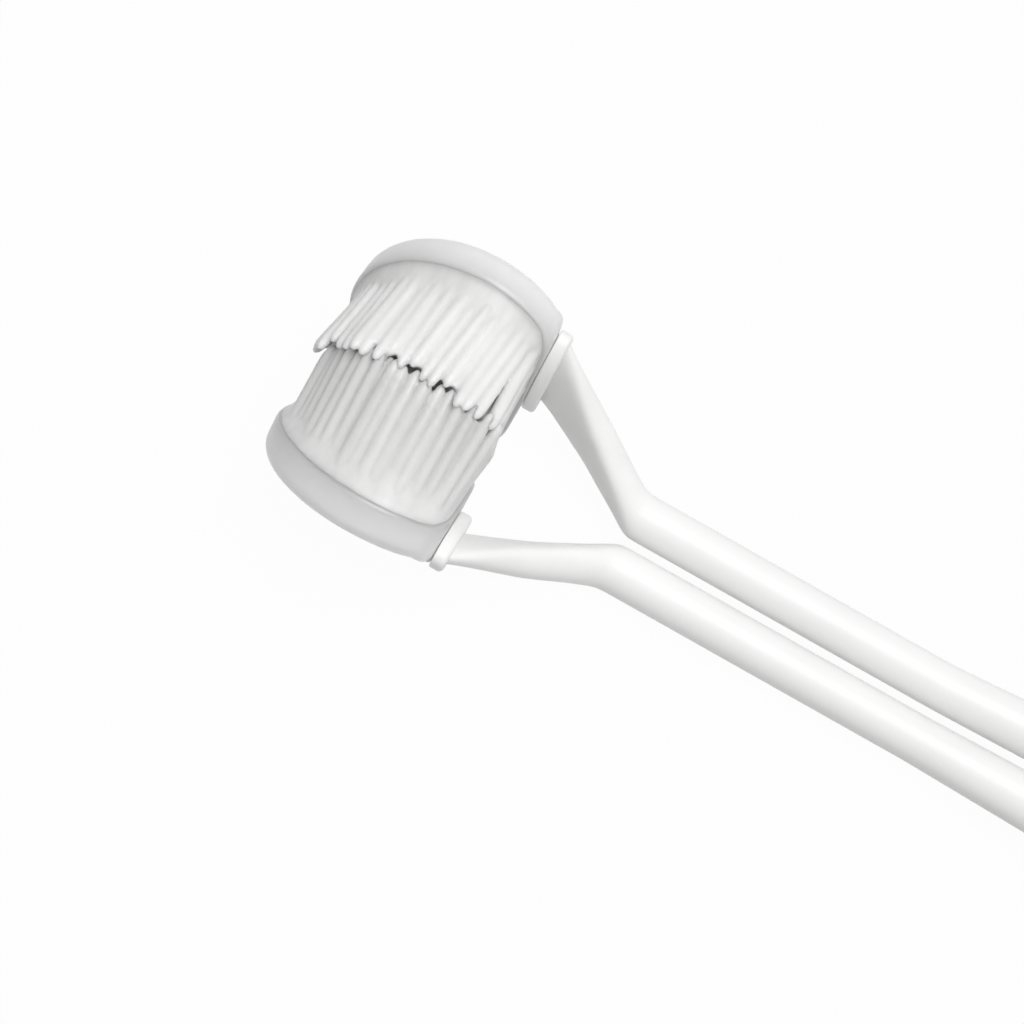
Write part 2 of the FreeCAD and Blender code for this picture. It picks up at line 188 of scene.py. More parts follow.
# Collar and peg in millimetres, close to the CAD's, with the tip of the peg where the CAD has it
COLLAR_ACROSS = 6.2
COLLAR_DEPTH = 2.5
COLLAR_THICKNESS = 1.4
COLLAR_ROUND = 0.5
COLLAR_FRONT_ROUND = 0.2
SEAT_GAP = 0.03
PEG_RADIUS = 1.2
PEG_LENGTH = 6.7
PEG_ROUND = 0.4
COLLAR_FRONT = HEAD_X + NECK_REACH + SEAT_GAP
COLLAR_BACK = COLLAR_FRONT + COLLAR_THICKNESS
COLLAR_MIDDLE = (COLLAR_FRONT + COLLAR_BACK) / 2.0
NECK_Y = FACE_OFFSET + NECK_DEPTH * math.cos(HEAD_TILT)
NECK_Z = FACE_HEIGHT - NECK_DEPTH * math.sin(HEAD_TILT)

# Rod, flare, tang, pivot eye and lever, as in the CAD but for a longer root and rounded bars
ROD_RADIUS = 2.6
ROD_OFFSET = 3.08
HEAD_TO_ELBOW = 24.0
ROD_LENGTH = 56.0
FLARE_LENGTH = 19.0
ROOT_EMBED = 3.0
ELBOW_X = HEAD_X + HEAD_TO_ELBOW
MOUTH_X = ELBOW_X + ROD_LENGTH
FLARE_X = MOUTH_X - FLARE_LENGTH
ARM_ROOT_X = MOUTH_X + ROOT_EMBED
ROOT_RADIUS = 3.0
AXIS_HEIGHT = 5.0
PIVOT_INSET = 10.0
PIVOT_X = MOUTH_X + PIVOT_INSET
PIVOT_OFFSET = 3.5
EYE_RADIUS = 2.6
EYE_BORE = 1.26
EYE_HEIGHT = 3.8
BARS_APART = 3.0
TANG_EMBED = 2.0
TANG_WIDTH = 4.0
TANG_ROUND = 0.3
LEVER_LENGTH = 9.0
LEVER_END_X = PIVOT_X + LEVER_LENGTH
LEVER_WIDTH = 1.8
LEVER_HEIGHT = 2.8
LEVER_ROUND = 0.25
ARM_COLUMNS = 64
BAR_COLUMNS = 32
EYE_COLUMNS = 48

# Rise of the arm from its collar to its elbow, fitted to the edges in the photo
THROAT_ACROSS = 5.6
THROAT_DEPTH = 1.2
THROAT_TILT = math.radians(20.0)
THROAT_Y = 10.45
THROAT_Z = 10.80
BLADE_TO_ELBOW = 7.5
BLADE_X = ELBOW_X - BLADE_TO_ELBOW
BLADE_ACROSS = 3.8
BLADE_DEPTH = 2.05
BLADE_Y = 7.06
BLADE_Z = 6.20
BLADE_TILT = math.radians(10.0)
BLADE_SQUARE = 0.6
SQUARE_RAMP = 6.0
SQUARE_FADE = 5.0
OBLONG_POWER = 3.4
KNEE_TO_ELBOW = 3.0
KNEE_X = ELBOW_X - KNEE_TO_ELBOW
KNEE_ACROSS = 2.9
KNEE_DEPTH = 2.30
SIZE_SOFTNESS = 1.5
PATH_SOFTNESS = 1.4

# Rows of the arm, close together where it bends: first place, last place and number
ARM_ROWS = (
    (COLLAR_MIDDLE, COLLAR_BACK + 1.4, 10),
    (COLLAR_BACK + 2.0, ELBOW_X - 4.0, 14),
    (ELBOW_X - 3.5, ELBOW_X + 3.5, 21),
    (ELBOW_X + 6.0, FLARE_X - 6.0, 8),
    (FLARE_X - 4.0, ARM_ROOT_X - 1.0, 22),
)

# Closing spring, as in the CAD
SPRING_THICKNESS = 0.5
SPRING_HEIGHT = 2.8
SPRING_GAP = 0.1
SPRING_LEAD = 1.2
SPRING_SETBACK = 2.0
SPRING_RADIUS = PIVOT_OFFSET - LEVER_WIDTH / 2.0 - SPRING_GAP - SPRING_THICKNESS / 2.0
SPRING_LEG_X = PIVOT_X + EYE_RADIUS + SPRING_LEAD
SPRING_BEND_X = LEVER_END_X + SPRING_SETBACK
SPRING_COLUMNS = 24

# Table top, room light and lamp: lengths in metres, power in watts
TABLE_REACH = 2.0
TABLE_GREY = (0.62, 0.62, 0.62, 1.0)
TABLE_SHOWN = 0.97
ROOM_LIGHT = 0.44
LAMP_SIZE = 0.4
LAMP_POWER = 2.6
LAMP_DISTANCE = 0.62
LAMP_TARGET = (-0.06, 0.0, 0.01)
LAMP_DIRECTION = (0.16, 0.26, 0.95)

# Camera of the photograph, fitted to heads and rods: millimetres, but for the near and far ends in metres
CAMERA_TIP = math.radians(-8.07)
CAMERA_PAN = math.radians(0.38)
CAMERA_ROLL = math.radians(-29.38)
CAMERA_DISTANCE = 152.68
CAMERA_AIM = (-70.445, -3.163, ROD_RADIUS)
CAMERA_SENSOR = 36.0
CAMERA_LENS = 51.5
CAMERA_NEAR = 0.005
CAMERA_FAR = 10.0


class Tone:
    """A value, colour or shader in a tree. Sums, differences and products of values become Math nodes."""

    def __init__(self, tree, socket):
        self.tree = tree
        self.socket = socket

    def math(self, operation, first, second):
        return add_node(self.tree, "ShaderNodeMath", {"operation": operation}, {0: first, 1: second})

    def __add__(self, other):
        return self.math("ADD", self, other)

    def __sub__(self, other):
        return self.math("SUBTRACT", self, other)

    def __rsub__(self, other):
        return self.math("SUBTRACT", other, self)

    def __mul__(self, other):
        return self.math("MULTIPLY", self, other)

    __radd__ = __add__
    __rmul__ = __mul__


def add_node(tree, kind, settings, sockets, output=0):
    """Adds a node, sets its settings, then fills its sockets with numbers, colours or links."""
    node = tree.nodes.new(kind)
    for name, value in settings.items():
        setattr(node, name, value)
    for key, value in sockets.items():
        if isinstance(value, Tone):
            tree.links.new(value.socket, node.inputs[key])
        else:
            node.inputs[key].default_value = value
    return None if output is None else Tone(tree, node.outputs[output])


class Finish:
    """A material with one Principled shader, whose patterns sit on the brush itself."""

    def __init__(self, name, **constants):
        self.material = bpy.data.materials.new(name)
        self.material.use_nodes = True
        self.tree = self.material.node_tree
        self.shader = self.tree.nodes["Principled BSDF"]
        for socket, value in constants.items():
            self.shader.inputs[socket.replace("_", " ")].default_value = value
        self.place = self.node("ShaderNodeTexCoord", {}, {}, "Object")

    def node(self, kind, settings, sockets, output=0):
        return add_node(self.tree, kind, settings, sockets, output)

    def noise(self, per_metre, detail, stretch=EVEN, place=None):
        """Soft noise with so many waves to the metre, drawn out along an axis where its factor is small."""
        where = self.node("ShaderNodeMapping", {}, {"Vector": place or self.place, "Scale": stretch})
        return self.node(
            "ShaderNodeTexNoise", {}, {"Vector": where, "Scale": per_metre, "Detail": detail}, "Fac")

    def attribute(self, name, output="Fac"):
        return self.node("ShaderNodeAttribute", {"attribute_name": name}, {}, output)

    def mix(self, share, first, second):
        """Colour that runs from the first to the second as the share goes from 0 to 1."""
        return self.node(
            "ShaderNodeMix", {"data_type": "RGBA"}, {"Factor": share, 6: first, 7: second}, 2)

    def ramp(self, value, low, high):
        """Value stretched so that low becomes 0 and high becomes 1."""
        return self.node("ShaderNodeMapRange", {}, {0: value, 1: low, 2: high})

    def feed(self, socket, value):
        self.tree.links.new(value.socket, self.shader.inputs[socket])

    def bump(self, height, depth_mm, strength):
        normal = self.node(
            "ShaderNodeBump", {},
            {"Height": height, "Distance": depth_mm * MM, "Strength": strength}, "Normal")
        self.feed("Normal", normal)


def grey(level):
    """A grey with a trace of warmth."""
    return (level, level, level * WARMTH, 1.0)


def greys(level, spread):
    """The greys at both ends of a spread around a level."""
    return grey(level - spread), grey(level + spread)


def white_plastic(name, grain_depth, dullness):
    """Moulded white plastic: faint flow streaks along the arm, fine skin grain, uneven satin gloss."""
    finish = Finish(
        name, IOR=1.46, Subsurface_Weight=0.15, Subsurface_Scale=0.001, Subsurface_Radius=EVEN)
    streaks = finish.noise(per_metre=260, detail=4, stretch=(0.05, 1.0, 1.0))
    clouds = finish.noise(per_metre=45, detail=2)
    grain = finish.noise(per_metre=3200, detail=2)
    shade = finish.ramp(streaks * 0.5 + clouds * 0.5, low=0.35, high=0.65)
    finish.feed("Base Color", finish.mix(shade, grey(0.87), grey(0.92)))
    finish.feed("Roughness", dullness + grain * 0.08 + clouds * 0.06)
    finish.bump(grain, depth_mm=grain_depth, strength=0.6)
    return finish.material


def frosted_plastic():
    """Milky translucent plastic of the heads: cloudy inside, softly glossy, with a faint moulded ripple."""
    finish = Finish(
        "frosted_head_plastic", IOR=1.48, Subsurface_Weight=1.0, Subsurface_Scale=0.008,
        Subsurface_Radius=EVEN)
    clouds = finish.noise(per_metre=160, detail=3)
    ripple = finish.noise(per_metre=420, detail=2)
    grain = finish.noise(per_metre=2600, detail=2)
    shade = finish.ramp(clouds, low=0.3, high=0.7)
    finish.feed("Base Color", finish.mix(shade, grey(0.88), grey(0.93)))
    finish.feed("Roughness", 0.24 + grain * 0.10 + clouds * 0.08)
    finish.bump(ripple * 0.8 + grain * 0.2, depth_mm=0.04, strength=0.5)
    return finish.material


def soft_bristles(name, root_tone, tip_tone, tone_end):
    """Milky elastomer, streaked along the bristles, with painted light and shade from root to tip."""
    finish = Finish(
        name, IOR=1.43, Subsurface_Weight=1.0, Subsurface_Scale=0.0012, Subsurface_Radius=EVEN)
    reach = finish.attribute("reach")
    root_place = finish.attribute("root_place", "Vector")
    own = finish.ramp(finish.noise(per_metre=800, detail=2, place=root_place), low=0.3, high=0.7)
    grain = finish.noise(per_metre=1800, detail=3)
    streaked = own * 0.75 + grain * 0.25
    # Painted light and shade: root and tip tones stand in for shade near the roots and under other tips,
    # and light on upper tips.
    rootward = finish.mix(streaked, *greys(root_tone, spread=0.05))
    tipward = finish.mix(streaked, *greys(tip_tone, spread=0.06))
    finish.feed("Base Color", finish.mix(finish.ramp(reach, low=0.0, high=tone_end), rootward, tipward))
    finish.feed("Roughness", 0.28 + grain * 0.12)
    finish.bump(grain, depth_mm=0.03, strength=0.4)
    return finish.material


def core_plastic():
    """Stiff sleeve plastic with turned rings from its mould core."""
    finish = Finish("stiff_core_plastic", IOR=1.49)
    rings = finish.noise(per_metre=900, detail=2, stretch=(1.0, 0.1, 0.1))
    grain = finish.noise(per_metre=2600, detail=2)
    finish.feed("Base Color", finish.mix(rings, grey(0.78), grey(0.86)))
    finish.feed("Roughness", 0.42 + grain * 0.12)
    finish.bump(rings, depth_mm=0.02, strength=0.5)
    return finish.material


def drawn_steel():
    """Stainless pins and strip with fine drawing lines along their length."""
    finish = Finish("drawn_stainless_steel", Metallic=1.0)
    lines = finish.noise(per_metre=4000, detail=3, stretch=(0.04, 1.0, 0.06))
    clouds = finish.noise(per_metre=300, detail=2)
    finish.feed("Base Color", finish.mix(clouds, (0.58, 0.58, 0.59, 1.0), (0.68, 0.68, 0.69, 1.0)))
    finish.feed("Roughness", 0.24 + lines * 0.22)
    finish.bump(lines, depth_mm=0.01, strength=0.4)
    return finish.material


def grid_faces(rows, columns):
    """Quads of a grid that closes round its columns: a point, the next one round, both one row on."""
    at = np.arange(rows * columns).reshape(rows, columns)
    after = np.roll(at, -1, axis=1)
    return np.stack([at[:-1], after[:-1], after[1:], at[1:]], axis=-1).reshape(-1, 4)


def add_piece(name, shells, material, body, replaced):
    """Fills one mesh with closed grids, and rides it on a body where one is named.

    Each shell is an array of shape (count, rows, columns, 3) in millimetres. Poles and seams are closed by
    merging their points, and faces are turned outwards.
    """
    points = []
    faces = []
    start = 0
    for shell in shells:
        count, rows, columns, _ = shell.shape
        first = start + np.arange(count)[:, None, None] * rows * columns
        faces.append((grid_faces(rows, columns)[None] + first).reshape(-1, 4))
        points.append(shell.reshape(-1, 3))
        start += count * rows * columns
    mesh = bpy.data.meshes.new(name)
    mesh.from_pydata(np.concatenate(points) * MM, [], np.concatenate(faces).tolist())
    work = bmesh.new()
    work.from_mesh(mesh)
    bmesh.ops.remove_doubles(work, verts=work.verts, dist=MERGE_DISTANCE)
    bmesh.ops.recalc_face_normals(work, faces=work.faces)
    work.to_mesh(mesh)
    work.free()
    mesh.shade_smooth()
    mesh.set_sharp_from_angle(angle=SHARP_ANGLE)
    mesh.materials.append(material)
    piece = bpy.data.objects.new(name, mesh)
    bpy.context.scene.collection.objects.link(piece)
    if body:
        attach(piece, body)
    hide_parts(replaced)
    return piece


def settle(piece):
    """Gives a piece the mesh that its modifiers make, and takes the modifiers off."""
    bpy.context.view_layer.update()
    graph = bpy.context.evaluated_depsgraph_get()
    mesh = bpy.data.meshes.new_from_object(piece.evaluated_get(graph))
    piece.modifiers.clear()
    piece.data = mesh
    mesh.shade_smooth()
    mesh.set_sharp_from_angle(angle=SHARP_ANGLE)


def around(columns):
    """Angles of a full turn, without its end."""
    return np.linspace(0.0, FULL_TURN, columns, endpoint=False)


def quarter(rows):
    """Angles of a quarter turn, with both ends."""
    return np.radians(np.linspace(0.0, 90.0, rows))


def squared(angle, power):
    """Distance from the middle of a rounded square to its edge, as a power mean of cosine and sine."""
    return (np.abs(np.cos(angle)) ** power + np.abs(np.sin(angle)) ** power) ** (-1.0 / power)


def smooth_step(value):
    """0 below 0, 1 above 1, and a cubic with level ends in between."""
    t = np.clip(value, 0.0, 1.0)
    return t * t * (3.0 - 2.0 * t)


def softened(x, stations, values, reach):
    """Straight runs between stations, averaged over a window so that each corner is rounded."""
    offsets = np.linspace(-1.0, 1.0, WINDOW_STEPS)
    weights = 1.0 - np.abs(offsets) + WINDOW_FLOOR
    samples = np.interp(x[:, None] + offsets * reach, stations, values)
    return samples @ (weights / weights.sum())


def in_head(u, v, w, sign):
    """Head places as brush places: u runs along the brush, v up across the head, w out of its face."""
    x = HEAD_X + u
    y = FACE_OFFSET + v * math.sin(HEAD_TILT) - w * math.cos(HEAD_TILT)
    z = FACE_HEIGHT + v * math.cos(HEAD_TILT) + w * math.sin(HEAD_TILT)
    return np.stack([x, sign * y, z], axis=-1)


def head_outline(angle, inset, neck_inset):
    """Distance from a head's middle to its edge: a power mean joins a circle and a flat neck end."""
    circle = 1.0 / (HEAD_RADIUS - inset)
    flat = np.maximum(np.cos(angle), 0.0) / (NECK_REACH - neck_inset)
    return (circle ** EDGE_SHARPNESS + flat ** EDGE_SHARPNESS) ** (-1.0 / EDGE_SHARPNESS)


def neck_boss(u, v, depth):
    """How far the back swells out under the neck: half an ellipse across, which grows towards the neck end.

    A softened maximum joins it to the flat back, and it fades out up the side of the head.
    """
    along = smooth_step((u - BOSS_START) / BOSS_RAMP)
    half_across = BOSS_ACROSS * (BOSS_START_ACROSS + (1.0 - BOSS_START_ACROSS) * along)
    half_depth = BOSS_DEPTH * (BOSS_START_DEPTH + (1.0 - BOSS_START_DEPTH) * along)
    behind = NECK_DEPTH - HEAD_THICKNESS
    swell = half_depth * np.sqrt(np.maximum(1.0 - (v / half_across) ** 2, 0.0)) + behind
    level = math.log1p(math.exp(behind / BOSS_SOFTNESS))
    swell = BOSS_SOFTNESS * np.maximum(np.log1p(np.exp(swell / BOSS_SOFTNESS)) - level, 0.0)
    return swell * smooth_step((-depth - BOSS_SIDE_START) / BOSS_SIDE_RAMP)


def head_shell(sign):
    """Cup profile carried round the head's outline.

    Rows run from the recess floor up its wall, over the rim in a quarter ellipse, down the side, round the
    back edge and to the middle of the back. Edges are less round at the flat neck end, where the back
    swells out as the neck boss.
    """
    angle = around(HEAD_COLUMNS)
    outer = head_outline(angle, 0.0, 0.0)
    recess = head_outline(angle, RIM_WIDTH, NECK_RIM)
    to_neck = smooth_step((outer * np.cos(angle) - NECK_REACH + NECK_EDGE_START) / NECK_EDGE_RAMP)
    face_round = FACE_ROUND * (1.0 - NECK_EDGE_CUT * to_neck)
    back_round = BACK_ROUND * (1.0 - NECK_EDGE_CUT * to_neck)
    back_edge = outer - back_round
    rim_turn = quarter(rows=11)[:, None]
    back_turn = quarter(rows=9)[:, None]
    floor_share = np.linspace(0.0, 1.0, num=6)[:, None]
    side_share = np.linspace(0.0, 1.0, num=5)[1:-1, None]
    back_share = np.linspace(1.0, 0.0, num=14)[1:, None]
    radius = np.concatenate([
        recess * floor_share,
        recess + (outer - recess) * np.sin(rim_turn),
        outer + 0.0 * side_share,
        back_edge + back_round * np.cos(back_turn),
        back_edge * back_share,
    ])
    side_height = HEAD_THICKNESS - back_round - face_round
    depth = np.concatenate([
        -RECESS_DEPTH + 0.0 * recess * floor_share,
        -face_round * (1.0 - np.cos(rim_turn)),
        -face_round - side_height * side_share,
        back_round - HEAD_THICKNESS - back_round * np.sin(back_turn),
        -HEAD_THICKNESS + 0.0 * back_edge * back_share,
    ])
    u = radius * np.cos(angle)
    v = radius * np.sin(angle)
    return in_head(u, v, depth - neck_boss(u, v, depth), sign)[None]


def bore_neck(shell, sign):
    """Cuts the round hole for the stiff sleeve into the neck end of a head."""
    length = NECK_REACH + DRILL_OVERRUN
    middle = (HEAD_X + length / 2.0, sign * NECK_Y, NECK_Z)
    place = Matrix.Translation([value * MM for value in middle])
    drill_mesh = bpy.data.meshes.new("neck_drill")
    work = bmesh.new()
    bmesh.ops.create_cone(
        work, cap_ends=True, segments=DRILL_COLUMNS, radius1=CORE_RADIUS * MM, radius2=CORE_RADIUS * MM,
        depth=length * MM, matrix=place @ Matrix.Rotation(math.radians(90.0), 4, "Y"))
    work.to_mesh(drill_mesh)
    work.free()
    drill = bpy.data.objects.new("neck_drill", drill_mesh)
    bpy.context.scene.collection.objects.link(drill)
    cut = shell.modifiers.new("neck_bore", "BOOLEAN")
    cut.operation = "DIFFERENCE"
    cut.object = drill
    settle(shell)
    bpy.data.objects.remove(drill)


def head_cup(side, sign, material):
    """Cup of a head, bored for its sleeve."""
    cup = add_piece(
        f"{side}_head_cup", [head_shell(sign)], material,
        f"{side}_head", f"{side}_head_shell")
    bore_neck(cup, sign)


def bristle_web(sign):
    """Low cushion in the recess: a flat floor, an upright edge, a round shoulder and a crowned top."""
    angle = around(WEB_COLUMNS)
    edge = head_outline(angle, RIM_WIDTH + WEB_PLAY, NECK_RIM + WEB_PLAY)
    bend = quarter(rows=5)
    floor_share = np.linspace(0.0, 1.0, num=3)
    top_share = np.linspace(1.0, 0.0, num=12)[1:]
    radius = np.concatenate([
        edge * floor_share[:, None],
        edge - WEB_SHOULDER + WEB_SHOULDER * np.cos(bend)[:, None],
        (edge - WEB_SHOULDER) * top_share[:, None],
    ])
    depth = np.concatenate([
        np.full_like(floor_share, WEB_PLAY - RECESS_DEPTH),
        -WEB_SHOULDER + WEB_SHOULDER * np.sin(bend),
        WEB_CROWN * (1.0 - top_share ** 2),
    ])[:, None]
    return in_head(radius * np.cos(angle), radius * np.sin(angle), depth + 0.0 * radius, sign)[None]


def bristle_roots():
    """Outer row at an even pitch along the rim, and staggered rows that fill the face inside it."""
    turn = np.linspace(0.0, FULL_TURN, num=721)
    edge = head_outline(turn, ROOT_INSET, ROOT_NECK_INSET)
    path = np.stack([edge * np.cos(turn), edge * np.sin(turn)], axis=-1)
    way = np.concatenate([[0.0], np.cumsum(np.linalg.norm(np.diff(path, axis=0), axis=1))])
    stops = np.linspace(0.0, way[-1], round(way[-1] / BRISTLE_PITCH), endpoint=False)
    stops = stops + random.normal(0.0, EDGE_ROOT_SPREAD, stops.shape)
    outer = np.stack([np.interp(stops, way, path[:, 0]), np.interp(stops, way, path[:, 1])], axis=-1)
    outer = outer * (1.0 - np.abs(random.normal(0.0, EDGE_INWARD_SPREAD, (len(outer), 1))))
    lines = np.arange(-ROOT_LINES, ROOT_LINES + 1)
    column, row = np.meshgrid(lines, lines)
    across = (column + ROW_STAGGER * (row % 2)) * BRISTLE_PITCH
    up = row * ROW_RISE
    reach = head_outline(np.arctan2(up, across), ROOT_INSET, ROOT_NECK_INSET) - INNER_ROW_GAP
    kept = np.hypot(across, up) < reach
    inner = np.stack([across[kept], up[kept]], axis=-1)
    return outer, inner + random.normal(0.0, INNER_ROOT_SPREAD, inner.shape)


def bristle_length(v):
    """Way from the bristle face to the middle of the brush."""
    return (FACE_OFFSET + v * math.sin(HEAD_TILT)) / math.cos(HEAD_TILT)


def bristle_sag(v, sign):
    """Sag of a tip, as far as the brush's full height asks.

    Upper left tips sag further, by a smooth step over v, and so pass under the right ones.
    """
    tip = FACE_HEIGHT + v * math.cos(HEAD_TILT) + bristle_length(v) * math.sin(HEAD_TILT)
    ceiling = cad_box[1][2] / MM - CEILING_GAP - BRISTLE_RADIUS
    under = LEFT_SAG * smooth_step((v - LEFT_SAG_START) / LEFT_SAG_RAMP) if sign < 0 else 0.0
    return CEILING_SAG * np.maximum(tip - ceiling, 0.0) + under


def sagged(u, v, w, sag, sign):
    """Places of a bristle whose axis drops with the square of the way along it."""
    places = in_head(u, v, w, sign)
    way = np.clip(w / bristle_length(v), 0.0, SAG_LIMIT)
    places[..., 2] = np.minimum(places[..., 2] - sag * way ** 2, cad_box[1][2] / MM - CEILING_GAP)
    return places


def bristle_fill(sign):
    """Mass of the bristles where they touch each other.

    The head's outline is carried up from the web: it narrows from a skirt on the rim to the grooves of the
    outer row, and closes over the inner rows at a set share of their length.
    """
    angle = around(HEAD_COLUMNS)
    loose = smooth_step((-np.cos(angle) - FILL_LOOSE_START) / FILL_LOOSE_RAMP)
    skirt = np.stack([
        head_outline(angle, inset + spare * loose, neck_inset)
        for inset, neck_inset, spare in zip(FILL_INSETS, FILL_NECK_INSETS, FILL_LOOSENESS)])
    edge = skirt[-1]
    top = FILL_SHARES[sign] * bristle_length(edge * np.sin(angle))
    low = np.minimum(np.array(FILL_HEIGHTS)[:, None], np.array(FILL_LIMITS)[:, None] * top)
    rise = np.linspace(0.0, 1.0, num=9)[1:, None]
    share = np.linspace(1.0, 0.0, num=12)[1:, None]
    radius = np.concatenate([0.0 * edge[None], skirt, edge + 0.0 * rise, edge * share])
    v = radius * np.sin(angle)
    plateau = FILL_SHARES[sign] * bristle_length(v[-len(share):])
    w = np.concatenate([low[:1], low, low[-1] + (top - low[-1]) * rise, plateau])
    lean = RIGHT_LEAN * np.maximum(w, 0.0) if sign > 0 else 0.0
    return sagged(radius * np.cos(angle) + lean, v, w, bristle_sag(v, sign), sign)[None]


def bristle_axes(u, v, on_edge, sign):
    """Lean and length of each bristle.

    Tips end along the middle of the brush. The right head's upper layer passes it, over the left head's
    upper tips, which pass it too. The right head's next layer ends short of them.
    """
    lean = random.normal(0.0, LEAN_SPREAD, (len(u), 2))
    high = smooth_step((v - UPPER_START) / UPPER_RAMP)
    layer = (np.sqrt(np.maximum((HEAD_RADIUS - ROOT_INSET) ** 2 - u ** 2, 0.0)) - v) / LAYER_DEPTH
    past_middle = high * (layer < TOP_LAYER_END) * (OVERLAP if sign > 0 else UNDERLAP)
    short = TIP_GAP + random.gamma(SHORTNESS_SHAPE, SHORTNESS_SCALE, len(u))
    if sign > 0:
        next_layer = (layer >= TOP_LAYER_END) & (layer < NEXT_LAYER_END)
        past_middle = past_middle - high * LAYER_ROOM * next_layer
        near_gap = np.abs(u[:, None] - np.array(SHORT_TIPS)).min(axis=1) < BRISTLE_PITCH / 2.0
        short = short + SHORT_BY * (near_gap & on_edge & (v > 0.0))
    length = bristle_length(v) + (past_middle - short) / math.cos(HEAD_TILT)
    length = np.maximum(length, LEAST_LENGTH)
    if sign > 0:
        stray = on_edge & (u < STRAY_START) & (v > 0.0)
        length = length + STRAY_EXTRA * stray
        lean[:, 0] = np.where(stray, STRAY_LEAN, lean[:, 0] + RIGHT_LEAN * length)
    lean[:, 0] += NECK_LEAN * smooth_step((u - NECK_LEAN_START) / NECK_LEAN_RAMP)
    return lean, length


def bristles(sign):
    """Round fingers, each carried along its own axis from a wide root to a domed tip.

    An axis leans evenly, and sags with the square of the way along it.
    """
    outer, inner = bristle_roots()
    u, v = np.concatenate([outer, inner]).T
    on_edge = np.arange(len(u)) < len(outer)
    lean, length = bristle_axes(u, v, on_edge, sign)
    way = np.array(FINGER_ROWS)
    size = BRISTLE_RADIUS * random.uniform(THINNEST, THICKEST, len(u))
    thick = (size[:, None] * np.array(FINGER_WIDTHS))[:, :, None]
    ring = around(FINGER_COLUMNS)
    finger_u = (u[:, None] + lean[:, 0:1] * way)[:, :, None] + thick * np.cos(ring)
    finger_v = (v[:, None] + lean[:, 1:2] * way)[:, :, None] + thick * np.sin(ring)
    finger_w = ROOT_START + (length[:, None] - ROOT_START) * way
    finger_w = np.broadcast_to(finger_w[:, :, None], finger_u.shape)
    return sagged(finger_u, finger_v, finger_w, bristle_sag(v, sign)[:, None, None], sign)


def mark_roots(mesh, sign):
    """Marks each point with its way from the bristle face to the middle, and with its bristle's root."""
    places = np.zeros(len(mesh.vertices) * 3, dtype=np.float32)
    mesh.vertices.foreach_get("co", places)
    x, y, z = (places.reshape(-1, 3) / MM).T
    sideways = sign * y - FACE_OFFSET
    upward = z - FACE_HEIGHT
    v = sideways * math.sin(HEAD_TILT) + upward * math.cos(HEAD_TILT)
    w = upward * math.sin(HEAD_TILT) - sideways * math.cos(HEAD_TILT)
    reach = np.clip(w / np.maximum(bristle_length(v), SHORTEST_WAY), 0.0, 1.0)
    root_u = x - HEAD_X - (RIGHT_LEAN * w if sign > 0 else 0.0)
    root_v = v + bristle_sag(v, sign) * reach ** 2
    root = np.stack([root_u, root_v, np.full_like(v, sign * ROOT_MARK_APART)], axis=-1) * MM
    mesh.attributes.new("reach", "FLOAT", "POINT").data.foreach_set("value", reach.astype(np.float32))
    layer = mesh.attributes.new("root_place", "FLOAT_VECTOR", "POINT")
    layer.data.foreach_set("vector", root.astype(np.float32).ravel())


def bristle_pad(side, sign, material):
    """Web, fill and fingers, grown together into one skin, as soft moulded bristles are at their roots."""
    pad = add_piece(
        f"{side}_bristles", [bristle_web(sign), bristle_fill(sign), bristles(sign)], material,
        f"{side}_head", f"{side}_bristle_pad")
    fuse = pad.modifiers.new("grown_together", "REMESH")
    fuse.mode = "VOXEL"
    fuse.voxel_size = FUSE_GRAIN * MM
    soften = pad.modifiers.new("softened", "SMOOTH")
    soften.factor = 0.5
    soften.iterations = 2
    settle(pad)
    mark_roots(pad.data, sign)


def tilted_ellipses(x, y, z, half_across, half_depth, sign, tilt=HEAD_TILT, square=0.0):
    """Ellipses that stand across the brush, one to a row, and lean outwards by a tilt.

    Where square goes to 1, an ellipse turns into a rounded oblong. Nothing goes below the table top.
    """
    ring = around(ARM_COLUMNS)
    bulge = 1.0 + np.broadcast_to(square, x.shape)[:, None] * (squared(ring, OBLONG_POWER) - 1.0)
    across = half_across[:, None] * np.cos(ring) * bulge
    deep = half_depth[:, None] * np.sin(ring) * bulge
    lean = np.broadcast_to(tilt, x.shape)[:, None]
    world_y = y[:, None] + across * np.sin(lean) - deep * np.cos(lean)
    world_z = np.maximum(z[:, None] + across * np.cos(lean) + deep * np.sin(lean), 0.0)
    world_x = np.broadcast_to(x[:, None], world_z.shape)
    return np.stack([world_x, sign * world_y, world_z], axis=-1)[None]


def arm_collar(sign):
    """Flat oval rib that the head seats against: an ellipse carried over two rounded edges."""
    turn = quarter(rows=7)
    front_x = COLLAR_FRONT + COLLAR_FRONT_ROUND * (1.0 - np.cos(turn))
    back_x = COLLAR_BACK - COLLAR_ROUND * (1.0 - np.cos(turn[::-1]))
    x = np.concatenate([[COLLAR_FRONT], front_x, back_x, [COLLAR_BACK]])
    inset = 1.0 - np.sin(turn)
    both = np.concatenate([COLLAR_FRONT_ROUND * inset, COLLAR_ROUND * inset[::-1]])
    half_across = np.concatenate([[0.0], COLLAR_ACROSS - both, [0.0]])
    half_depth = np.concatenate([[0.0], COLLAR_DEPTH - both, [0.0]])
    y = np.full_like(x, NECK_Y)
    z = np.full_like(x, NECK_Z)
    return tilted_ellipses(x, y, z, half_across, half_depth, sign)


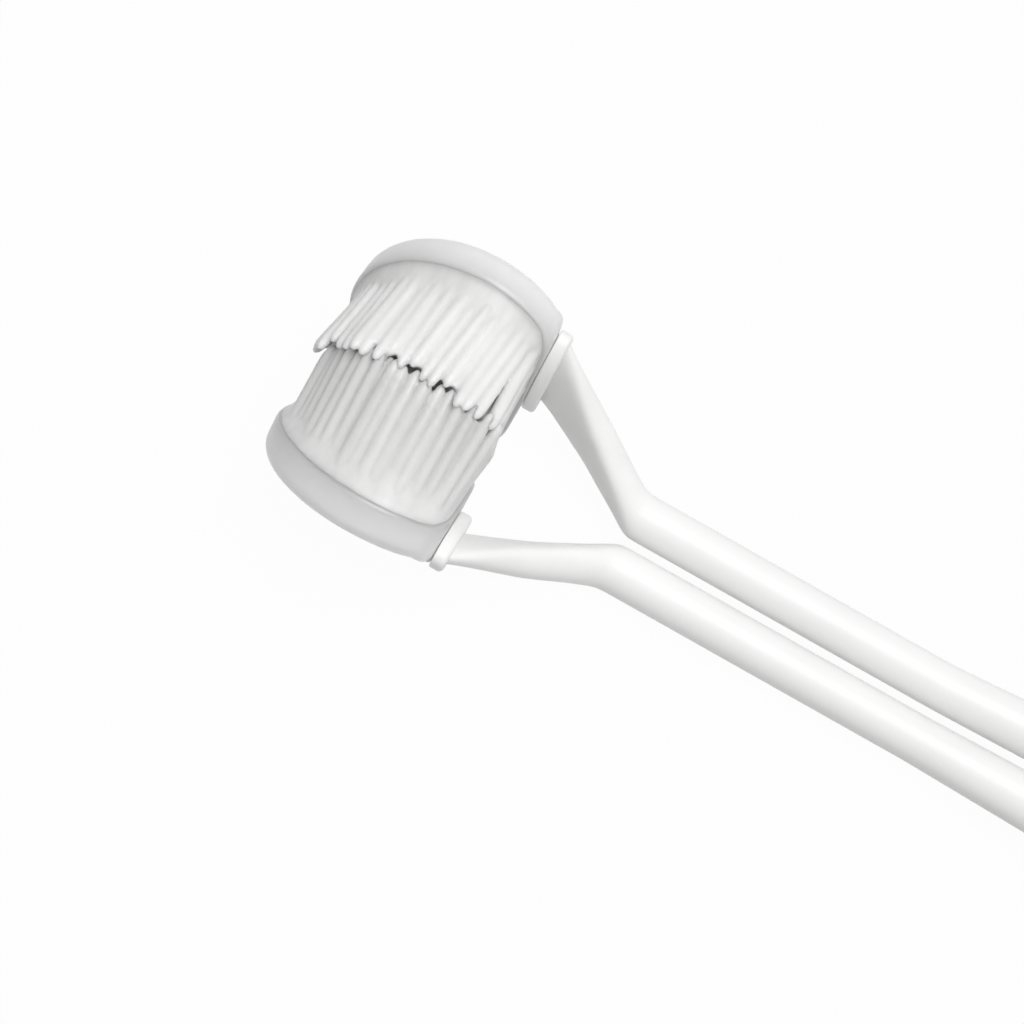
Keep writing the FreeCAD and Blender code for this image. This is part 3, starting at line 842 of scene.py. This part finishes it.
def arm_limb(sign):
    """Section carried from inside the collar down a flat blade, round the elbow and along the rod.

    Middle and half axes run straight between stations and are averaged, so that blade, elbow and flare
    flow into each other. The section leans less and less, and is a rounded oblong between collar and elbow.
    """
    x = np.concatenate([np.linspace(first, last, rows) for first, last, rows in ARM_ROWS])
    size_x = [COLLAR_MIDDLE, BLADE_X, KNEE_X, ELBOW_X, FLARE_X, MOUTH_X, ARM_ROOT_X]
    path_x = [COLLAR_MIDDLE, BLADE_X, ELBOW_X, FLARE_X, MOUTH_X, ARM_ROOT_X]
    rods = [ROD_RADIUS, ROD_RADIUS, ROOT_RADIUS, ROOT_RADIUS]
    rod_y = [ROD_OFFSET, ROD_OFFSET, PIVOT_OFFSET, PIVOT_OFFSET]
    rod_z = [ROD_RADIUS, ROD_RADIUS, AXIS_HEIGHT, AXIS_HEIGHT]
    half_across = softened(x, size_x, [THROAT_ACROSS, BLADE_ACROSS, KNEE_ACROSS] + rods, SIZE_SOFTNESS)
    half_depth = softened(x, size_x, [THROAT_DEPTH, BLADE_DEPTH, KNEE_DEPTH] + rods, SIZE_SOFTNESS)
    y = softened(x, path_x, [THROAT_Y, BLADE_Y] + rod_y, PATH_SOFTNESS)
    z = softened(x, path_x, [THROAT_Z, BLADE_Z] + rod_z, PATH_SOFTNESS)
    tilt = softened(x, [COLLAR_MIDDLE, BLADE_X], [THROAT_TILT, BLADE_TILT], SIZE_SOFTNESS)
    square = BLADE_SQUARE * smooth_step((ELBOW_X - x) / SQUARE_FADE)
    square = square * smooth_step((x - COLLAR_MIDDLE) / SQUARE_RAMP)
    ends = np.concatenate([[0], np.arange(len(x)), [len(x) - 1]])
    half_across = half_across[ends]
    half_depth = half_depth[ends]
    half_across[[0, -1]] = 0.0
    half_depth[[0, -1]] = 0.0
    return tilted_ellipses(
        x[ends], y[ends], z[ends], half_across, half_depth, sign, tilt[ends], square[ends])


def arm_peg(sign):
    """Round peg on the collar's front: a circle carried along the brush, with a rounded end."""
    nose = quarter(rows=5)
    tip = COLLAR_FRONT - PEG_LENGTH
    nose_x = tip + PEG_ROUND * (1.0 - np.cos(nose))
    nose_radius = PEG_RADIUS - PEG_ROUND * (1.0 - np.sin(nose))
    x = np.concatenate([[tip], nose_x, [COLLAR_FRONT, COLLAR_MIDDLE, COLLAR_MIDDLE]])
    radius = np.concatenate([[0.0], nose_radius, [PEG_RADIUS, PEG_RADIUS, 0.0]])
    ring = around(BAR_COLUMNS)
    y = NECK_Y + radius[:, None] * np.cos(ring)
    z = NECK_Z + radius[:, None] * np.sin(ring)
    return np.stack([np.broadcast_to(x[:, None], y.shape), sign * y, z], axis=-1)[None]


def rounded_bar(first_x, last_x, middle_y, width, height, round_off):
    """Bar along the brush: a rounded square carried from end to end, smaller where the ends are rounded."""
    turn = quarter(rows=5)
    ends = round_off * (1.0 - np.cos(turn))
    x = np.concatenate([[first_x], first_x + ends, last_x - ends[::-1], [last_x]])
    inset = round_off * (1.0 - np.sin(turn))
    both = np.concatenate([inset, inset[::-1]])
    wide = np.concatenate([[0.0], width / 2.0 - both, [0.0]])
    tall = np.concatenate([[0.0], height / 2.0 - both, [0.0]])
    ring = around(BAR_COLUMNS)
    square = squared(ring, power=10)
    y = middle_y + wide[:, None] * square * np.cos(ring)
    z = AXIS_HEIGHT + tall[:, None] * square * np.sin(ring)
    return np.stack([np.broadcast_to(x[:, None], y.shape), y, z], axis=-1)[None]


def pivot_eye(sign):
    """Ring round the pivot pin: a rounded oblong profile turned about an upright axis."""
    ring = around(EYE_COLUMNS)
    loop = np.linspace(0.0, FULL_TURN, num=33)
    square = squared(loop, power=8)
    radius = (EYE_RADIUS + EYE_BORE) / 2.0 + (EYE_RADIUS - EYE_BORE) / 2.0 * square * np.cos(loop)
    z = AXIS_HEIGHT + EYE_HEIGHT / 2.0 * square * np.sin(loop)
    x = PIVOT_X + radius[:, None] * np.cos(ring)
    y = sign * PIVOT_OFFSET + radius[:, None] * np.sin(ring)
    return np.stack([x, y, np.broadcast_to(z[:, None], x.shape)], axis=-1)[None]


def arm(side, sign, material):
    """One moulding: rise and rod, collar, peg, tang, pivot eye and lever. Both bars end inside the eye."""
    middle_y = sign * PIVOT_OFFSET
    tang_end_x = PIVOT_X - BARS_APART / 2.0
    lever_start_x = PIVOT_X + BARS_APART / 2.0
    shells = [
        arm_limb(sign),
        arm_collar(sign),
        arm_peg(sign),
        rounded_bar(MOUTH_X - TANG_EMBED, tang_end_x, middle_y, TANG_WIDTH, EYE_HEIGHT, TANG_ROUND),
        pivot_eye(sign),
        rounded_bar(lever_start_x, LEVER_END_X, middle_y, LEVER_WIDTH, LEVER_HEIGHT, LEVER_ROUND),
    ]
    add_piece(
        f"{side}_arm_moulding", shells, material, f"{side}_arm_body", f"{side}_arm")


def spring_half(sign):
    """Half of the spring's U: a strip with rounded edges, carried along one leg and half of the bend."""
    leg = np.linspace(SPRING_LEG_X, SPRING_BEND_X, num=25)
    bend = quarter(rows=13)[1:]
    along = np.concatenate([leg[:1], leg, np.full(len(bend) + 1, SPRING_BEND_X)])[:, None]
    turn = np.concatenate([np.zeros(len(leg) + 1), bend, bend[-1:]])[:, None]
    fullness = np.ones_like(turn)
    fullness[[0, -1]] = 0.0
    ring = around(SPRING_COLUMNS)
    square = squared(ring, power=8)
    radius = SPRING_RADIUS + fullness * SPRING_THICKNESS / 2.0 * square * np.cos(ring)
    z = AXIS_HEIGHT + fullness * SPRING_HEIGHT / 2.0 * square * np.sin(ring)
    return np.stack([along + radius * np.sin(turn), sign * radius * np.cos(turn), z], axis=-1)[None]


def closing_spring(side, sign, material):
    """Half of the spring, between the grip, where its U is held, and the lever it presses; its mesh is
    baked in place.
    """
    half = add_piece(
        f"closing_spring_{side}_half", [spring_half(sign)], material, None, "closing_spring")
    held, pressed = [
        (x * MM, sign * SPRING_RADIUS * MM, AXIS_HEIGHT * MM) for x in (SPRING_BEND_X, LEVER_END_X)]
    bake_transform(half)


def finish_node(node, material):
    """A CAD node whose shape is right keeps it and gets its finish."""
    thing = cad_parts[node]
    thing.data.materials.clear()
    thing.data.materials.append(material)


def seen_directly(tree):
    """1 for rays that see a surface, straight, mirrored or through the brush, and 0 for light it gives."""
    straight, mirrored, through = [
        add_node(tree, "ShaderNodeLightPath", {}, {}, kind)
        for kind in ("Is Camera Ray", "Is Glossy Ray", "Is Transmission Ray")]
    return 1.0 - (1.0 - straight) * (1.0 - mirrored) * (1.0 - through)


def add_floor():
    """Level white table top, which shows a faint shadow of the brush."""
    mesh = bpy.data.meshes.new("table_top")
    corners = [(TABLE_REACH * x, TABLE_REACH * y, 0.0) for x, y in ((-1, -1), (1, -1), (1, 1), (-1, 1))]
    mesh.from_pydata(corners, [], [(0, 1, 2, 3)])
    material = bpy.data.materials.new("white_table_top")
    material.use_nodes = True
    tree = material.node_tree
    tree.nodes.clear()
    paper = add_node(tree, "ShaderNodeBsdfDiffuse", {}, {"Color": TABLE_GREY})
    glow = add_node(tree, "ShaderNodeEmission", {}, {"Color": WHITE, "Strength": 1.0})
    share = seen_directly(tree) * TABLE_SHOWN
    mixed = add_node(tree, "ShaderNodeMixShader", {}, {0: share, 1: paper, 2: glow})
    add_node(tree, "ShaderNodeOutputMaterial", {}, {"Surface": mixed}, None)
    mesh.materials.append(material)
    floor = bpy.data.objects.new("table_top", mesh)
    bpy.context.scene.collection.objects.link(floor)


def add_light():
    """Even dim room light and one large soft lamp from the upper right of the picture."""
    world = bpy.data.worlds.new("studio")
    bpy.context.scene.world = world
    world.use_nodes = True
    tree = world.node_tree
    tree.nodes.clear()
    room = add_node(tree, "ShaderNodeBackground", {}, {"Color": WHITE, "Strength": ROOM_LIGHT})
    white = add_node(tree, "ShaderNodeBackground", {}, {"Color": WHITE, "Strength": 1.0})
    mixed = add_node(tree, "ShaderNodeMixShader", {}, {0: seen_directly(tree), 1: room, 2: white})
    add_node(tree, "ShaderNodeOutputWorld", {}, {"Surface": mixed}, None)
    lamp = bpy.data.lights.new("soft_lamp", "AREA")
    lamp.shape = "DISK"
    lamp.size = LAMP_SIZE
    lamp.energy = LAMP_POWER
    holder = bpy.data.objects.new("soft_lamp", lamp)
    bpy.context.scene.collection.objects.link(holder)
    back = np.array(LAMP_DIRECTION) / np.linalg.norm(LAMP_DIRECTION)
    place = np.array(LAMP_TARGET) + back * LAMP_DISTANCE
    right = np.cross((0.0, 0.0, 1.0), back)
    right = right / np.linalg.norm(right)
    up = np.cross(back, right)
    turned = Matrix(np.column_stack([right, up, back]).tolist()).to_4x4()
    holder.matrix_world = Matrix.Translation(place.tolist()) @ turned


def turned_about(axis, angle):
    """Matrix of a turn about one axis: cosines and sines in the rows and columns of the other two."""
    first = (axis + 1) % 3
    second = (axis + 2) % 3
    turn = np.eye(3)
    turn[[first, second], [first, second]] = math.cos(angle)
    turn[first, second] = -math.sin(angle)
    turn[second, first] = math.sin(angle)
    return turn


def add_camera():
    """Camera of the photograph: rolled, tipped and panned, at a distance from the point it looks at."""
    axes = turned_about(2, CAMERA_ROLL) @ turned_about(0, CAMERA_TIP) @ turned_about(1, CAMERA_PAN)
    place = (np.array(CAMERA_AIM) + axes[2] * CAMERA_DISTANCE) * MM
    lens = bpy.data.cameras.new("photo_camera")
    lens.sensor_width = CAMERA_SENSOR
    lens.lens = CAMERA_LENS
    lens.clip_start = CAMERA_NEAR
    lens.clip_end = CAMERA_FAR
    camera = bpy.data.objects.new("photo_camera", lens)
    bpy.context.scene.collection.objects.link(camera)
    camera.matrix_world = Matrix.Translation(place.tolist()) @ Matrix(axes.T.tolist()).to_4x4()
    bpy.context.scene.camera = camera


arm_white = white_plastic("satin_white_arm_plastic", grain_depth=0.012, dullness=0.34)
grip_white = white_plastic("satin_white_grip_plastic", grain_depth=0.03, dullness=0.40)
head_frost = frosted_plastic()
bristle_milk = {
    # Painted shade and light: the right bristles are darker at the roots and lighter towards the tips.
    "right": soft_bristles("milky_right_bristles_painted_shade_and_light", root_tone=0.72, tip_tone=0.81, tone_end=0.35),
    # Painted shade: the left bristles turn greyer towards the tips, where they lie under the right head's
    # tips.
    "left": soft_bristles("milky_left_bristles_painted_shade", root_tone=0.82, tip_tone=0.69, tone_end=0.9),
}
sleeve = core_plastic()
steel = drawn_steel()

for side_name, side_sign in SIDES:
    head_cup(side_name, side_sign, head_frost)
    bristle_pad(side_name, side_sign, bristle_milk[side_name])
    arm(side_name, side_sign, arm_white)
    finish_node(f"{side_name}_head_core", sleeve)
    finish_node(f"{side_name}_pivot_pin", steel)
    closing_spring(side_name, side_sign, steel)
finish_node("grip_bottom_shell", grip_white)
finish_node("grip_top_shell", grip_white)

add_floor()
add_light()
add_camera()
bpy.context.scene.view_settings.view_transform = "Standard"
